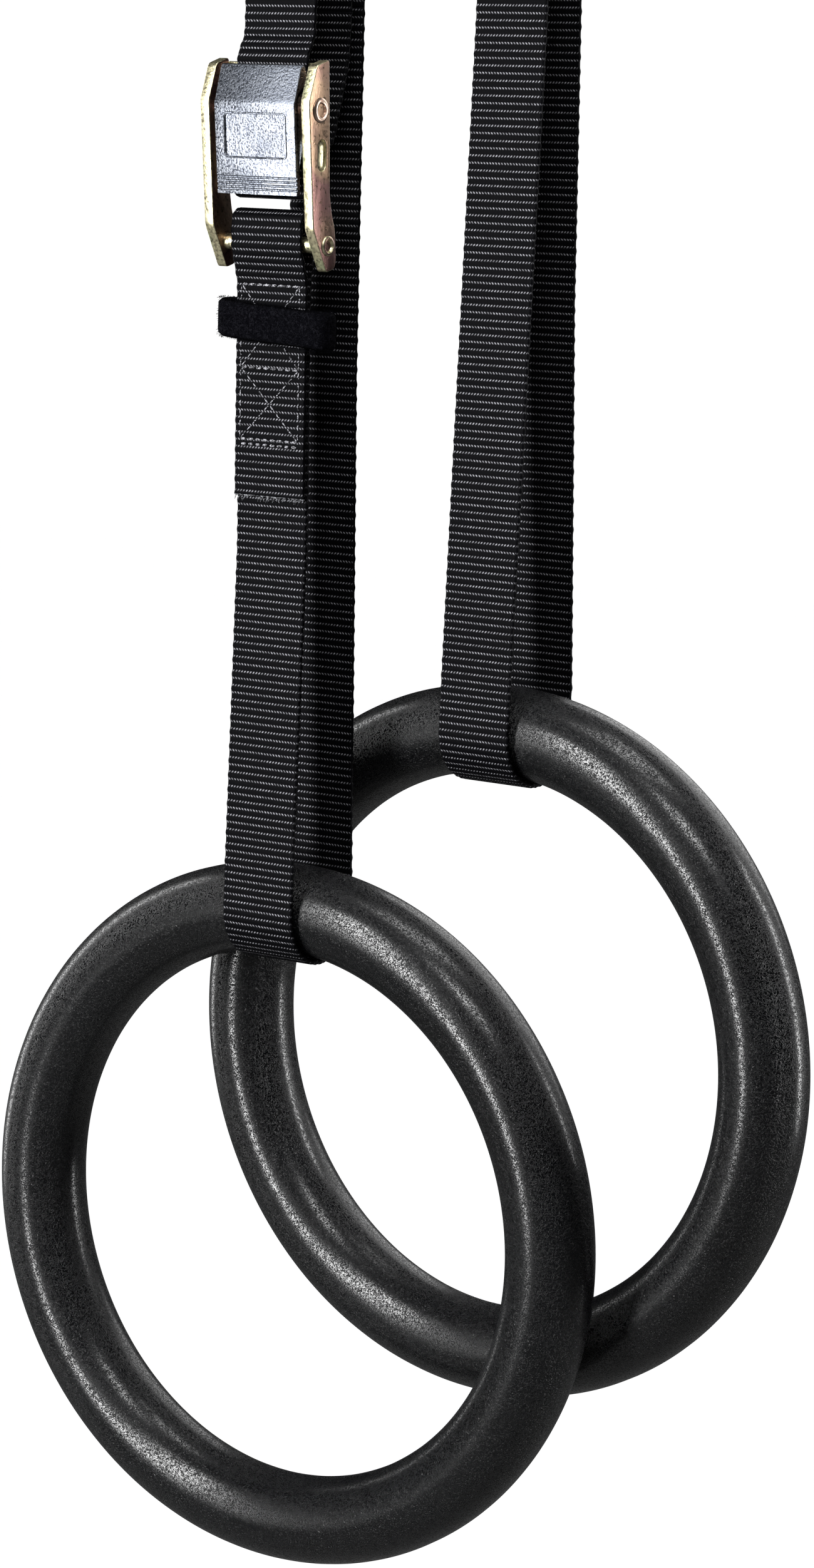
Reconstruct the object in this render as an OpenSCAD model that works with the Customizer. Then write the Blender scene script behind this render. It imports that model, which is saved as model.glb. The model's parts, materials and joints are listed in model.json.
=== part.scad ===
// Pair of gymnastics rings: two moulded rings, each hung in a webbing strap with a cam buckle.
// Each set is drawn in its own frame, with the origin at the centre of its ring. X runs along
// the strap's width, Y runs away from the side with the buckle's lever, and Z is up.

/* [Ring] */
// Diameter of the round tube that the ring is made of
ring_tube_d = 29; // [27:0.5:29.5]
// Diameter of the ring's hole
ring_hole_d = 178; // [176:1:182]
// Wall thickness of the hollow moulding
ring_wall = 4; // [3:0.5:6]

/* [Webbing] */
// Width of the webbing
web_w = 28; // [24:1:28]
// Thickness of the webbing
web_t = 1.6; // [1.2:0.1:1.7]

/* [Hanging] */
// Height of the left anchor loop's centre above the left ring's centre
left_drop = 804; // [760:1:900]
// Height of the right anchor loop's centre above the right ring's centre
right_drop = 742.5; // [735:0.5:860]
// Distance of the right anchor loop from the left one along X
right_x = 60.5; // [55:0.5:90]
// Distance of the right anchor loop from the left one along Y
right_y = 33.6; // [33:0.1:60]
// Angle by which the right set is turned clockwise, seen from above
right_turn = 2.5; // [0:0.5:4]
// Diameter of the bar or hook that an anchor loop fits
anchor_d = 12; // [10:1:14]

/* [Cam buckle] */
// Inner width between the side plates
buckle_inner_w = 35.6; // [34:0.1:37]
// Thickness of the side plates
plate_t = 3.5; // [3:0.1:4]
// Height of the left lever's pivot above the left ring's centre
left_pivot_z = 362.3; // [355:0.1:372]
// Height of the right lever's pivot above the right ring's centre
right_pivot_z = 501.5; // [490:0.5:505]
// Diameter of the pivot rivet's shank
rivet_d = 4; // [3.6:0.1:4.1]
// Diameter of the pivot rivet's heads
rivet_head_d = 7.9; // [7:0.1:9]
// Diameter of the bar that holds the sewn end
bar_d = 5; // [4:0.1:5.2]

/* [Hidden] */
$fn = 48;

LEFT = 0;
RIGHT = 1;

// Ring
tube_r = ring_tube_d / 2;
ring_r = (ring_hole_d + ring_tube_d) / 2;

ring_x = [2.5, 1];        // how far each ring lies to the right of its strap's middle

// The strap under the ring's tube: it clears the tube's curve across the webbing's width
bight_r = tube_r + 1.7;
bight_mid = bight_r + web_t / 2;
web_half = web_t / 2;

// Anchor loop, whose centre is a little behind the ring's plane
anchor_y = 3;
anchor_r = anchor_d / 2;
anchor_mid = anchor_r + web_half;
drop = [left_drop, right_drop];

// Cam buckle, as (y, z) offsets from the ring's centre plane and from the lever's pivot
pivot_y = -22.4;
pivot_z = [left_pivot_z, right_pivot_z];
buckle_back = [0, 8.3];   // how far the buckle sits back because the legs close up above the ring
base_t = 1.6;
base_y = -17.1;           // middle of the base plate
base_bottom = -26;
base_top = 14.6;
bar_y = -16.8;
bar_z = -42.2;
bar_head_d = 6.4;
lever_w = 31.2;
lever_low = [-3.5, -26.8];  // lower and upper ends of the lever's front face
lever_high = [-6.3, 1.6];
face_lean = (lever_high[0] - lever_low[0]) / (lever_high[1] - lever_low[1]);
panel_w = 23.2;           // recessed panel in the lever's face
panel_h = 13.2;
panel_deep = 0.45;
panel_z = -8.4;
groove_d = 0.9;           // round-bottomed grip grooves across the face
groove_z = -25.2;
groove_pitch = 1.25;
ear_t = 1.5;              // the lever's ears, which turn on the rivet
fold_r = bar_d / 2 + 0.1 + web_half;
fold_z = -35.2;           // centre of the fold's round top, above the bar

// Webbing near the buckle
front_y = -18.9;          // middle of the webbing in front of the base plate
behind_y = -15.3;         // middle of the webbing behind the base plate
slack_y = 4;              // middle of the loaded leg where it is clear of the buckle
slack_z = 31;             // height where the loaded leg starts, above the pivot
slack_drop = 0.8;         // the slack webbing leans in by this much before it bulges
slack_low_z = 15;
bulge_y = [11.6, 3];      // how far it stands behind the base plate, at two heights
bulge_z = [-8.5, -20];
flap_z = -122.8;          // cut end of the sewn end
seam_z = -54.6;           // where the sewn end's layers meet
flap_gap = 0.05;
close_z = 116;            // where the back leg stops closing round the ring's tube
close_y = [16.2, 18];
back_mid_y = [11.8, 12.4];   // two more places where the back leg changes direction
back_mid_z = [277, 240];
back_bend_y = [11, 10.4];
back_bend_z = [395, 345];
front_mid_y = [-13.6, -7.8];  // where the front leg changes direction above the ring
front_mid_z = [222, 332];
front_bend_y = [-14.9, -7.1]; // where the sewn end meets the front leg
tail_bend = [-15.4, 23];  // where the tail is nearly upright again above the buckle
hank_z = 84;              // bottom of the folded surplus
hank_len = 108;
hank_gap_y = -14;
hank_layers = 6;
layer_pitch = web_t + 0.25;
keeper_z = -67.7;
keeper_h = 12;
keeper_x = 1.7;
keeper_slack = 12.4;      // the keeper is this much wider inside than the webbing
keeper_tilt = 4.5;
keeper_deep = 8;          // inside, from front to back
keeper_fwd = 1.2;         // its middle is this far in front of the leg's middle
tape_t = 1.4;             // hook-and-loop tape of the keeper and the tie
tie_h = 20;
tie_gap = 0.6;            // the tie's room round the folded surplus

// Rivets, spring and stitching
rivet_bore_d = rivet_d + 0.1;
head_t = 0.9;
spring_wire_d = 0.5;
spring_r = 2.3;
spring_turns = 9;
spring_len = 20;
seam_in = 2.5;
seam_rows = [-55.5, -82, -104.9, -106.5];

function rest(side) = [0, buckle_back[side] + pivot_y, pivot_z[side]];

// A strip of webbing along a path of (y, z) points, as thick as the webbing
module strip(path) {
    rotate([90, 0, 90])
        linear_extrude(web_w, center = true)
            polygon(concat(
                [for (i = [0 : len(path) - 1]) path[i] + side_step(path, i)],
                [for (i = [len(path) - 1 : -1 : 0]) path[i] - side_step(path, i)]));
}

// Offset of a strip's side at point i: level at both ends, where strips meet, and mitred between
function unit(v) = v / norm(v);
function heading(path, i) =
    i == 0 ? unit(path[1] - path[0])
    : i == len(path) - 1 ? unit(path[i] - path[i - 1])
    : unit(unit(path[i + 1] - path[i]) + unit(path[i] - path[i - 1]));
function mitre(path, i) = 1 / (heading(path, i) * unit(path[i + 1] - path[i]));
function side_step(path, i) =
    let (h = heading(path, i), ends = i == 0 || i == len(path) - 1)
    ends ? [-sign(h[1]) * web_half, 0] : [-h[1], h[0]] * web_half * mitre(path, i);

// Half a ring of webbing about the X axis: dir is 1 for the upper half and -1 for the lower
module half_turn(mid_r, dir) {
    difference() {
        rotate([0, 90, 0])
            cylinder(r = mid_r + web_half, h = web_w, center = true);
        rotate([0, 90, 0])
            cylinder(r = mid_r - web_half, h = web_w + 2, center = true);
        translate([0, 0, -dir * mid_r * 2])
            cube([web_w + 2, mid_r * 4, mid_r * 4], center = true);
    }
}

// ---- Ring ----
module ring_half(dir) {
    color("#1b1c1f")
        rotate_extrude($fn = 96)
            translate([ring_r, 0])
                intersection() {
                    difference() {
                        circle(tube_r);
                        circle(tube_r - ring_wall);
                    }
                    translate([-tube_r, dir > 0 ? 0 : -tube_r])
                        square([tube_r * 2, tube_r]);
                }
}

module ring_front_half(side) translate([ring_x[side], 0, 0]) rotate([90, 0, 0]) ring_half(1);
module ring_rear_half(side) translate([ring_x[side], 0, 0]) rotate([90, 0, 0]) ring_half(-1);

// ---- Webbing round the ring and up to the anchor ----
module ring_bight(side) {
    color("#17181c")
        translate([0, 0, ring_r])
            half_turn(bight_mid, -1);
}

module front_leg(side) {
    color("#17181c")
        strip([[-bight_mid, ring_r], [front_mid_y[side], front_mid_z[side]],
               [front_bend_y[side], pivot_z[side] + seam_z]]);
}

module back_leg_lower(side) {
    color("#17181c")
        strip([[bight_mid, ring_r], [close_y[side], close_z],
               [back_mid_y[side], back_mid_z[side]], [back_bend_y[side], back_bend_z[side]]]);
}

module back_leg_upper(side) {
    color("#17181c")
        strip([[back_bend_y[side], back_bend_z[side]],
               [anchor_y + anchor_mid, drop[side]]]);
}

module anchor_loop(side) {
    color("#17181c")
        translate([0, anchor_y, drop[side]])
            half_turn(anchor_mid, 1);
}

module loaded_leg(side) {
    color("#17181c")
        strip([[anchor_y - anchor_mid, drop[side]],
               [slack_y + slack_in(side), pivot_z[side] + slack_z]]);
}

// The right buckle sits closer to the back leg, so its slack webbing bulges less
function slack_in(side) = side == LEFT ? 0 : 1.5;

// Round the base plate's lower edge, from behind it to in front of it
module buckle_turn(side) {
    back = buckle_back[side];
    turn_mid = (behind_y - front_y) / 2;
    color("#17181c")
        translate([0, 0, pivot_z[side]]) {
            strip([[slack_y + slack_in(side), slack_z],
                   [slack_y + slack_in(side) - slack_drop, slack_low_z],
                   [back + behind_y + bulge_y[0], bulge_z[0]],
                   [back + behind_y + bulge_y[1], bulge_z[1]],
                   [back + behind_y, base_bottom]]);
            translate([0, back + (behind_y + front_y) / 2, base_bottom])
                half_turn(turn_mid, -1);
            strip([[back + front_y, base_bottom], [back + front_y, base_top + 2]]);
        }
}

module tail(side) {
    back = buckle_back[side];
    color("#17181c")
        translate([0, 0, pivot_z[side]])
            strip([[back + front_y, base_top + 2], [back + tail_bend[0], tail_bend[1]],
                   [back + hank_gap_y, hank_z]]);
}

// The surplus webbing folded to and fro
module hank(side) {
    depth = (hank_layers - 1) * layer_pitch + web_t;
    color("#17181c")
        translate([0, buckle_back[side] + hank_gap_y - depth / 2 + web_half,
                   pivot_z[side] + hank_z + hank_len / 2])
            cube([web_w, depth, hank_len], center = true);
}

module hank_tie(side) {
    depth = (hank_layers - 1) * layer_pitch + web_t;
    band(web_w + tie_gap, depth + tie_gap, tie_h,
         buckle_back[side] + hank_gap_y - depth / 2 + web_half,
         pivot_z[side] + hank_z + hank_len / 2);
}

// A flat band of hook-and-loop tape wrapped round the webbing
module band(inner_w, inner_d, height, y, z, tilt = 0, x = 0) {
    color("#121215")
        translate([x, y, z])
            rotate([0, tilt, 0])
                difference() {
                    cube([inner_w + 2 * tape_t, inner_d + 2 * tape_t, height],
                         center = true);
                    cube([inner_w, inner_d, height + 2], center = true);
                }
}

module keeper(side) {
    band(web_w + keeper_slack, keeper_deep, keeper_h,
         front_bend_y[side] - keeper_fwd, pivot_z[side] + keeper_z, keeper_tilt, keeper_x);
}

// ---- The end that is sewn round the bar ----
module sewn_end(side) {
    back = buckle_back[side];
    leg = front_bend_y[side];
    front = leg - web_t - flap_gap;
    below = bar_z - 1;
    color("#17181c")
        translate([0, 0, pivot_z[side]]) {
            translate([0, back + bar_y, fold_z])
                half_turn(fold_r, 1);
            strip([[back + bar_y - fold_r, fold_z], [back + bar_y - fold_r, below],
                   [front, seam_z], [flap_front(side), flap_z]]);
            strip([[back + bar_y + fold_r, fold_z], [back + bar_y + fold_r, below],
                   [leg, seam_z]]);
        }
}

// Where the front leg's upper part is at height z above the pivot
function leg_y(side, z) =
    let (low = front_mid_z[side] - pivot_z[side], k = (z - low) / (seam_z - low))
    front_mid_y[side] + k * (front_bend_y[side] - front_mid_y[side]);
function flap_front(side) = leg_y(side, flap_z) - web_t - flap_gap;

// Rows of thread proud of the flap
module stitching(side) {
    row_w = web_w - 2 * seam_in;
    thread_h = 0.4;
    color("#2a2b30")
        for (z = seam_rows)
            translate([0, leg_y(side, z) - web_t - flap_gap - web_half - thread_h / 2,
                       pivot_z[side] + z])
                cube([row_w, thread_h - 0.06, 1], center = true);
}

// ---- Cam buckle ----
module buckle_frame(side) {
    color("#b9a468")
        translate(rest(side))
            difference() {
                union() {
                    for (dir = [-1, 1])
                        translate([dir * (buckle_inner_w + plate_t) / 2, 0, 0])
                            side_plate();
                    translate([0, base_y - pivot_y, (base_top + base_bottom) / 2])
                        cube([buckle_inner_w + 1, base_t, base_top - base_bottom],
                             center = true);
                }
                rotate([0, 90, 0])
                    cylinder(d = rivet_d, h = 60, center = true);
                translate([0, bar_y - pivot_y, bar_z])
                    rotate([0, 90, 0])
                        cylinder(d = bar_d, h = 60, center = true);
            }
}

// Outline as (y, z) offsets from the pivot
module side_plate() {
    slot_y = 1.5;
    slot_z = -14;
    slot_h = 9.9;
    slot_w = 4.4;
    rotate([90, 0, 90])
        linear_extrude(plate_t, center = true)
            difference() {
                polygon([[4.4, 15], [3.8, 15.6], [-2.2, 13.8], [-6, 2.5], [-2.2, -37],
                         [5.3, -50.6], [9.8, -49.4], [10.5, -47], [9.6, -37.5], [7.6, -32],
                         [6.3, -26], [5.6, -8]]);
                for (dz = [-1, 1])
                    translate([slot_y, slot_z + dz * (slot_h - slot_w) / 2])
                        circle(d = slot_w);
                translate([slot_y, slot_z])
                    square([slot_w, slot_h - slot_w], center = true);
            }
}

module cam_lever(side) {
    color("#aebbd0")
        translate(rest(side))
            difference() {
                union() {
                    rotate([90, 0, 90])
                        linear_extrude(lever_w, center = true)
                            lever_profile();
                    for (dir = [-1, 1])
                        translate([dir * (lever_w - ear_t) / 2, 0, 0])
                            rotate([90, 0, 90])
                                linear_extrude(ear_t, center = true)
                                    ear_profile();
                }
                rotate([0, 90, 0])
                    cylinder(d = rivet_bore_d, h = 60, center = true);
                // Recessed panel
                translate([0, face_y(panel_z), panel_z])
                    rotate([-atan(face_lean), 0, 0])
                        cube([panel_w, 2 * panel_deep, panel_h], center = true);
                // Grip grooves near the lower edge
                for (i = [0 : 3])
                    translate([0, face_y(groove_z + i * groove_pitch),
                               groove_z + i * groove_pitch])
                        rotate([0, 90, 0])
                            cylinder(d = groove_d, h = lever_w + 1, center = true);
            }
}

// Where the lever's front face is at height z above the pivot
function face_y(z) = lever_low[0] + (z - lever_low[1]) * face_lean;

// Front shell, sloping top and the cam's nose, as (y, z) offsets from the pivot
module lever_profile() {
    polygon([lever_low, lever_high, [-2.9, 13.2], [-1.9, 13.9], [-0.7, 13.2],
             [1.8, 7.6], [2.4, 6.4], [1.8, 5.9], [2.1, 5.2], [1.2, 4.4],
             [-2.6, 4.6], [-4.3, 3], [-1.7, -26.4]]);
}

module ear_profile() {
    circle(r = 3.6);
    polygon([[-5.4, 3.8], [-1.6, 7.4], [1.6, 5.4], [3.5, 0.8], [1, -3.4],
             [-2.9, -20], [-3.4, -20]]);
}

// A hollow rivet through both plates and the lever's ears
module pivot_rivet(side) {
    color("#b87a5a")
        translate(rest(side))
            rotate([0, 90, 0])
                difference() {
                    headed_bar(rivet_d);
                    cylinder(d = rivet_d - 1.6, h = 60, center = true);
                }
}

module webbing_bar(side) {
    color("#b87a5a")
        translate([0, buckle_back[side] + bar_y, pivot_z[side] + bar_z])
            rotate([0, 90, 0])
                headed_bar(bar_d, bar_head_d);
}

module headed_bar(d, head_d = rivet_head_d) {
    outer = buckle_inner_w + 2 * plate_t;
    cylinder(d = d, h = outer, center = true);
    for (dir = [-1, 1])
        translate([0, 0, dir * (outer + head_t) / 2])
            cylinder(d = head_d, h = head_t, center = true);
}

// Wire coiled round the rivet, with one leg on the lever and one on the base plate
module torsion_spring(side) {
    steps = 14;
    sides = 6;
    wire_r = spring_wire_d / 2;
    coil = [for (i = [0 : spring_turns * steps])
        let (a = i * 360 / steps)
        [-spring_len / 2 + spring_len * i / (spring_turns * steps),
         spring_r * cos(a), spring_r * sin(a)]];
    start = [coil[0] + [-0.2, 0, -7]];
    path = concat(start, coil);
    color("#9a9da3")
        translate(rest(side))
            sweep(path, wire_r, sides);
}

// A closed tube of the given radius along a path of (x, y, z) points
function tangent(path, i) = unit(
    path[min(i + 1, len(path) - 1)] - path[max(i - 1, 0)]);
function ring_at(path, i, r, n) =
    let (t = tangent(path, i), u = unit(cross(t, [1, 0.2, 0.1])), v = cross(t, u))
    [for (k = [0 : n - 1]) path[i] + r * (cos(360 * k / n) * u + sin(360 * k / n) * v)];
module sweep(path, r, n) {
    last = len(path) - 1;
    points = [for (i = [0 : last]) each ring_at(path, i, r, n)];
    near = [for (i = [0 : last - 1]) for (k = [0 : n - 1])
        [i * n + k, i * n + (k + 1) % n, (i + 1) * n + (k + 1) % n]];
    far = [for (i = [0 : last - 1]) for (k = [0 : n - 1])
        [i * n + k, (i + 1) * n + (k + 1) % n, (i + 1) * n + k]];
    ends = [[for (k = [n - 1 : -1 : 0]) k], [for (k = [0 : n - 1]) last * n + k]];
    polyhedron(points, concat(near, far, ends), convexity = 10);
}

// Puts a set's ring below its own anchor loop
module place(side) {
    translate(side == LEFT ? [0, -anchor_y, -drop[side]]
              : [right_x, right_y - anchor_y, -drop[side]])
        rotate([0, 0, side == LEFT ? 0 : -right_turn])
            children();
}

for (side = [LEFT, RIGHT]) {
    set = side == LEFT ? "left_" : "right_";
    place(side) ring_front_half(side);
    place(side) ring_rear_half(side);
    place(side) ring_bight(side);
    place(side) front_leg(side);
    place(side) back_leg_lower(side);
    place(side) back_leg_upper(side);
    place(side) anchor_loop(side);
    place(side) loaded_leg(side);
    place(side) buckle_turn(side);
    place(side) tail(side);
    place(side) hank(side);
    place(side) hank_tie(side);
    place(side) sewn_end(side);
    place(side) stitching(side);
    place(side) keeper(side);
    place(side) buckle_frame(side);
    place(side) cam_lever(side);
    place(side) pivot_rivet(side);
    place(side) torsion_spring(side);
    place(side) webbing_bar(side);
}
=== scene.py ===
"""A pair of gymnastics rings on webbing straps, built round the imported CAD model."""
import json
import math
import random

import bmesh
import bpy
from mathutils import Matrix, Vector


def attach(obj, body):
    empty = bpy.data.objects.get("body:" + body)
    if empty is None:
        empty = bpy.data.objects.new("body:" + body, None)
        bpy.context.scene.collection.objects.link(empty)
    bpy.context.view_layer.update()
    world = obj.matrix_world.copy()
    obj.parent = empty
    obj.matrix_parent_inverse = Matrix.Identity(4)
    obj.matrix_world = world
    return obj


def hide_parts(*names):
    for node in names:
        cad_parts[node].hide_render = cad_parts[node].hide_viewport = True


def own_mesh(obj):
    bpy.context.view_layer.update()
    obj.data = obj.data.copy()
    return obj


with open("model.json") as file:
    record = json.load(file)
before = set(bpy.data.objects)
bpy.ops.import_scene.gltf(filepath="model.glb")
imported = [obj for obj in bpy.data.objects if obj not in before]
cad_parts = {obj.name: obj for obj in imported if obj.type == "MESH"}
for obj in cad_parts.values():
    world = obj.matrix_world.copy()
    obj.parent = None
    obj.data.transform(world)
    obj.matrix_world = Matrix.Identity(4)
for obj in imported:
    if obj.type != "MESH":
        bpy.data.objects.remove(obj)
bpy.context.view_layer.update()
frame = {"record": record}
MM = 0.001

# ---------------------------------------------------------------- sizes, in millimetres
WEB_W = 28.0
WEB_T = 1.6
BACK_U = 40.0           # the weave map of the back lies this far beside the front's
RIB = 2.36              # one weft rib of the webbing
YARN = 1.15             # one warp yarn across a rib
TUBE_R = 14.5
RING_R = 103.5
RING_WALL = 4.0
BIGHT_MID = TUBE_R + 1.7 + WEB_T / 2
ANCHOR_Y = 3.0
ANCHOR_MID = 6.0 + WEB_T / 2
BASE_BOTTOM = -26.0     # the base plate's lower edge, from the lever's pivot
BASE_TOP = 14.6
BASE_Y = 5.3            # the base plate's middle, from the pivot
BASE_T = 1.6
BAR_Z = -42.2
BAR_Y = -16.8
FOLD_R = 5.0 / 2 + 0.1 + WEB_T / 2
FOLD_Z = -35.2          # centre of the fold's round top
SEAM_Z = -54.6
FLAP_Z = -122.8
INNER_W = 35.6
PLATE_T = 3.5
LEVER_W = 31.2
EAR_T = 1.5
LEVER_LOW = (-3.5, -26.8)   # ends of the lever's front face, as (y, z) from the pivot
LEVER_HIGH = (-6.3, 1.6)
FACE_LEAN = (LEVER_LOW[0] - LEVER_HIGH[0]) / (LEVER_HIGH[1] - LEVER_LOW[1])
PANEL_Z = -8.4          # recessed panel in that face
PANEL_W = 23.2
PANEL_H = 13.2
PANEL_DEEP = 0.45
GROOVE_R = 0.45         # grip grooves below the panel
GROOVE_Z = -25.2
GROOVE_PITCH = 1.25
SLOT_Y = 1.5            # slot in each side plate
SLOT_Z = -14.0
SLOT_H = 9.9
SLOT_W = 4.4
HANK_LAYERS = 6
LAYER_PITCH = WEB_T + 0.25
HANK_Z = 84.0
HANK_LEN = 108.0
KEEPER_Z = -67.7
KEEPER_TILT = 4.5       # degrees
KEEPER_X = 1.7
KEEPER_H = 12.0
KEEPER_SLACK = 12.4     # the keeper is this much wider inside than the webbing
KEEPER_FWD = 1.2        # its middle is this far in front of the leg's middle
KEEPER_DEEP = 8.0
TIE_H = 20.0
TIE_GAP = 0.6
HANK_Y = -14.0
FLAP_STEP = WEB_T + 0.05
BEHIND_Y = -15.3        # the webbing's middle behind the base plate, and in front of it
FRONT_Y = -18.9
SLACK_Y = 4.0
SLACK_Z = 31.0
SLACK_DROP = 0.8        # the slack webbing leans in by this much before it bulges
SLACK_LOW_Z = 15.0
BULGE = ((11.6, -8.5), (3.0, -20.0))    # behind the base plate, and height from the pivot
TAIL_BEND = (-15.4, 23.0)


# ---------------------------------------------------------------- the two sets' places
class RingSet:
    """One set's frame, in millimetres: X along the webbing from its middle, Z from the ring."""

    def __init__(self, side, ring_x, back, back_stops, front_mid, front_bend_y, slack_in):
        joints = {j["name"]: j for j in frame["record"]["behaviour"]["joints"]}
        self.side = side
        self.x = Vector(joints[side + "_lever_press"]["axis"]).normalized()
        self.ring_x = ring_x
        self.origin = Vector(joints[side + "_ring_turn"]["pos_m"]) - self.x * ring_x * MM
        self.y = Vector((0, 0, 1)).cross(self.x)
        pivot = Vector(joints[side + "_lever_press"]["pos_m"]) - self.origin
        self.pivot_y = pivot.dot(self.y) / MM
        self.pivot_z = pivot.z / MM
        self.back = back
        self.back_stops = [Vector(p) for p in back_stops]
        self.front_mid = Vector(front_mid)
        self.front_bend_y = front_bend_y
        self.slack_in = slack_in
        self.drop = -self.origin.z / MM

    def at(self, x, y, z):
        """World place of a point of the set's frame."""
        return self.origin + (self.x * x + self.y * y + Vector((0, 0, z))) * MM

    def name(self, piece):
        return f"{self.side}_{piece}"

    def leg_y(self, z):
        """Middle of the front leg's upper part, at height z above the pivot."""
        low = self.front_mid.y - self.pivot_z
        k = (z - low) / (SEAM_Z - low)
        return self.front_mid.x + k * (self.front_bend_y - self.front_mid.x)


LEFT = RingSet("left", 2.5, 0.0, ((16.2, 116.0), (11.8, 277.0), (11.0, 395.0)),
               (-13.6, 222.0), -14.9, 0.0)
RIGHT = RingSet("right", 1.0, 8.3, ((18.0, 116.0), (12.4, 240.0), (10.4, 345.0)),
                (-7.8, 332.0), -7.1, 1.5)
SETS = (LEFT, RIGHT)


# ---------------------------------------------------------------- camera and light
def direction(azimuth, elevation):
    """Unit vector towards a viewer at these angles."""
    a, e = math.radians(azimuth), math.radians(elevation)
    return Vector((math.sin(a) * math.cos(e), -math.cos(a) * math.cos(e), math.sin(e)))


def add_camera():
    data = bpy.data.cameras.new("camera")
    camera = bpy.data.objects.new("camera", data)
    bpy.context.scene.collection.objects.link(camera)
    camera.location = LEFT.at(LEFT.ring_x, 0, 0) + direction(35.59, 14.63) * 1.4637
    back = direction(34.14, 9.0)
    turn = back.to_track_quat("Z", "Y").to_matrix()
    camera.matrix_world = (Matrix.Translation(camera.location)
                           @ (turn @ Matrix.Rotation(math.radians(1.584), 3, "Z")).to_4x4())
    data.lens = 100.73
    data.sensor_width = 36.0
    data.clip_end = 50.0
    bpy.context.scene.camera = camera


def area_light(name, place, target, size, power, colour=(1, 1, 1)):
    data = bpy.data.lights.new(name, "AREA")
    data.shape = "RECTANGLE"
    data.size, data.size_y = size
    data.energy = power
    data.color = colour
    lamp = bpy.data.objects.new(name, data)
    bpy.context.scene.collection.objects.link(lamp)
    lamp.location = place
    lamp.rotation_euler = (Vector(place) - Vector(target)).to_track_quat("Z", "Y").to_euler()


def add_light():
    scene = bpy.context.scene
    scene.view_settings.view_transform = "Standard"
    world = bpy.data.worlds.new("studio")
    scene.world = world
    world.use_nodes = True
    nodes, links = world.node_tree.nodes, world.node_tree.links
    path = nodes.new("ShaderNodeLightPath")
    fill = nodes["Background"]
    fill.inputs["Color"].default_value = (0.9, 0.95, 1.0, 1)
    fill.inputs["Strength"].default_value = 0.02
    white = nodes.new("ShaderNodeBackground")
    white.inputs["Color"].default_value = (1, 1, 1, 1)
    white.inputs["Strength"].default_value = 1.02
    mix = nodes.new("ShaderNodeMixShader")
    links.new(path.outputs["Is Camera Ray"], mix.inputs["Fac"])
    links.new(fill.outputs["Background"], mix.inputs[1])
    links.new(white.outputs["Background"], mix.inputs[2])
    links.new(mix.outputs["Shader"], nodes["World Output"].inputs["Surface"])
    centre = LEFT.at(30, 0, 100)
    for name, azimuth, elevation, reach, size, power in (
            ("key_left", -22, 11, 1.5, (0.26, 1.5), 32),
            ("rim_left", -95, 10, 1.5, (0.3, 1.5), 9),
            ("rim_right", 130, 10, 1.5, (0.3, 1.6), 20),
            ("front", 30, 48, 1.6, (0.5, 0.4), 8),
            ("top", 60, 84, 1.5, (0.8, 0.6), 9),
            ("back", 180, 24, 1.8, (1.4, 1.0), 10)):
        area_light(name, centre + direction(azimuth, elevation) * reach, centre, size, power)


def add_floor():
    mesh = bpy.data.meshes.new("floor")
    half, level = 9.0, -1.75
    mesh.from_pydata([(-half, -half, level), (half, -half, level), (half, half, level),
                      (-half, half, level)], [], [(0, 1, 2, 3)])
    floor = bpy.data.objects.new("floor", mesh)
    bpy.context.scene.collection.objects.link(floor)
    nodes = Nodes("floor_white")
    seen = nodes.tree.nodes.new("ShaderNodeLightPath").outputs["Is Camera Ray"]
    nodes.principled(**{"Base Color": (0.12, 0.12, 0.12, 1), "Roughness": 0.9,
                        "Emission Color": (1, 1, 1, 1),
                        "Emission Strength": nodes.ranged(seen, 0, 1, 0.06, 1.0)})
    mesh.materials.append(nodes.material)


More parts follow.
